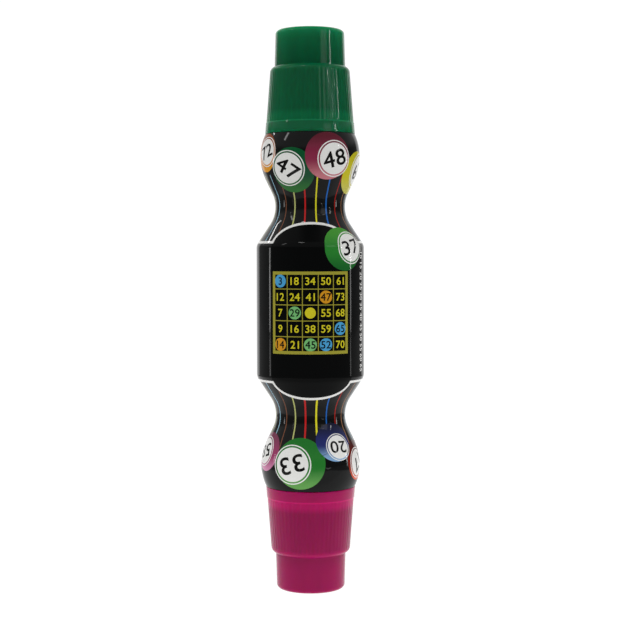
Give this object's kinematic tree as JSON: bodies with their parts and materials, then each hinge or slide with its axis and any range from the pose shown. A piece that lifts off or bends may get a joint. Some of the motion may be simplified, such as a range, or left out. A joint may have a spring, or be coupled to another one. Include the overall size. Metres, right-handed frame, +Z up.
{
  "type": "bingo dauber",
  "caption": "Double-ended ink dauber for marking game cards: joined bottles in a printed sleeve, with a sprung foam tip and a push-on fluted cap at each end.",
  "frame": {"origin": "middle of the flat end of the magenta cap, on which the dauber stands", "axes": "+Z up along the dauber's axis, from the magenta cap to the green cap; +X to the right and -Y towards the viewer of the label's front"},
  "size_m": [0.0384, 0.0384, 0.199],
  "materials": {
    "cap_green": "glossy translucent dark green polypropylene",
    "cap_magenta": "glossy translucent magenta polypropylene",
    "sleeve_black": "glossy black printed shrink film",
    "bottle_natural": "satin natural polyethylene",
    "tip_white": "satin white polypropylene",
    "cloth_green": "fine woven cloth soaked in green ink",
    "cloth_magenta": "fine woven cloth soaked in magenta ink",
    "foam_green": "open-cell foam soaked in green ink",
    "foam_magenta": "open-cell foam soaked in magenta ink",
    "spring_steel": "bright stainless wire"
  },
  "bodies": {
    "magenta_cap": {"magenta_cap": "cap_magenta"},
    "dauber": {"label_sleeve": "sleeve_black", "bottle_joiner": "tip_white", "green_bottle": "bottle_natural", "green_tip_housing": "tip_white", "green_tip_collar": "tip_white", "green_tip_foam": "foam_green", "green_valve_spring": "spring_steel", "green_spring_retainer": "tip_white", "magenta_bottle": "bottle_natural", "magenta_tip_housing": "tip_white", "magenta_tip_collar": "tip_white", "magenta_tip_foam": "foam_magenta", "magenta_valve_spring": "spring_steel", "magenta_spring_retainer": "tip_white"},
    "green_cap": {"green_cap": "cap_green"},
    "green_tip": {"green_tip_cover": "cloth_green", "green_valve": "tip_white"},
    "magenta_tip": {"magenta_tip_cover": "cloth_magenta", "magenta_valve": "tip_white"}
  },
  "joints": [
    {"name": "magenta_cap_pull", "type": "slide", "parent": "magenta_cap", "child": "dauber", "axis": [0, 0, 1], "range_m": [0, 0.045]},
    {"name": "green_cap_pull", "type": "slide", "parent": "dauber", "child": "green_cap", "axis": [0, 0, 1], "range_m": [0, 0.045]},
    {"name": "green_tip_press", "type": "slide", "parent": "dauber", "child": "green_tip", "axis": [0, 0, -1], "range_m": [0, 0.002], "stiffness_N_per_m": 1500, "springref_m": -0.0015, "deforming": ["green_tip_foam", "green_valve_spring"]},
    {"name": "magenta_tip_press", "type": "slide", "parent": "dauber", "child": "magenta_tip", "axis": [0, 0, 1], "range_m": [0, 0.002], "stiffness_N_per_m": 1500, "springref_m": -0.0015, "deforming": ["magenta_tip_foam", "magenta_valve_spring"]}
  ]
}
